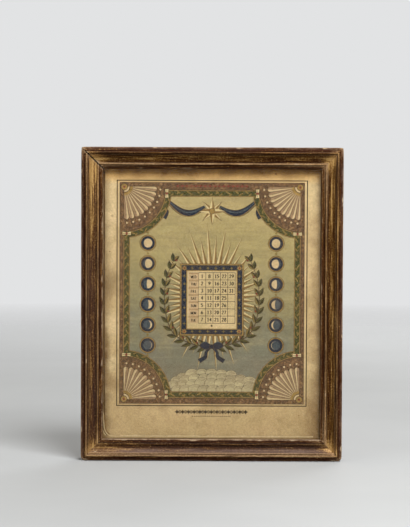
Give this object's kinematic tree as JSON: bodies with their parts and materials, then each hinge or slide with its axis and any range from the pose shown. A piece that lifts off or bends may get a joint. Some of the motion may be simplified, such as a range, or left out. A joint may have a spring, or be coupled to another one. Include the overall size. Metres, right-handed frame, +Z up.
{
  "type": "framed perpetual calendar",
  "caption": "Framed perpetual calendar: a printed date table behind glass, with a weekday strip that slides behind a window in the print and is set by a button on the back.",
  "frame": {"origin": "on the table under the bottom rail, halfway across the frame and halfway through the depth of its moulding", "axes": "+X to the right seen from the front, +Y towards the back, +Z up; the picture faces -Y"},
  "size_m": [0.25, 0.0338, 0.3],
  "materials": {
    "gilt_moulding": "worn gilding over red bole and gesso on wood, browned",
    "glass": "clear, polished",
    "aged_paper": "matte, browned with age",
    "weekday_paper": "matte, slightly pinker than the sheet",
    "grey_board": "matte",
    "back_wood": "planed, unvarnished, darkened",
    "slip_wood": "planed, unvarnished",
    "iron": "dark, lightly rusted",
    "brass": "turned, tarnished",
    "washer_leather": "matte"
  },
  "bodies": {
    "frame": {"top_rail": "gilt_moulding", "bottom_rail": "gilt_moulding", "left_stile": "gilt_moulding", "right_stile": "gilt_moulding", "mitre_nails": "iron", "glass_pane": "glass", "print_sheet": "aged_paper", "mount_board": "grey_board", "spacer_top": "slip_wood", "spacer_bottom": "slip_wood", "spacer_left": "slip_wood", "spacer_right": "slip_wood", "slide_guide_left": "slip_wood", "slide_guide_right": "slip_wood", "backboard": "back_wood", "backboard_brads": "iron", "hanging_eye": "brass"},
    "weekday_slide": {"weekday_strip": "weekday_paper", "slide_tongue": "slip_wood", "slide_stud": "brass", "friction_washer": "washer_leather", "slide_button": "brass"},
    "hanging_ring": {"hanging_ring": "brass"}
  },
  "joints": [
    {"name": "weekday_slide_travel", "type": "slide", "parent": "frame", "child": "weekday_slide", "axis": [0, 0, 1], "range_m": [-0.02012, 0.02152]},
    {"name": "ring_swing", "type": "hinge", "parent": "frame", "child": "hanging_ring", "pos_m": [0, 0.01723, 0.2899], "axis": [1, 0, 0], "range_deg": [-19, 200]}
  ]
}
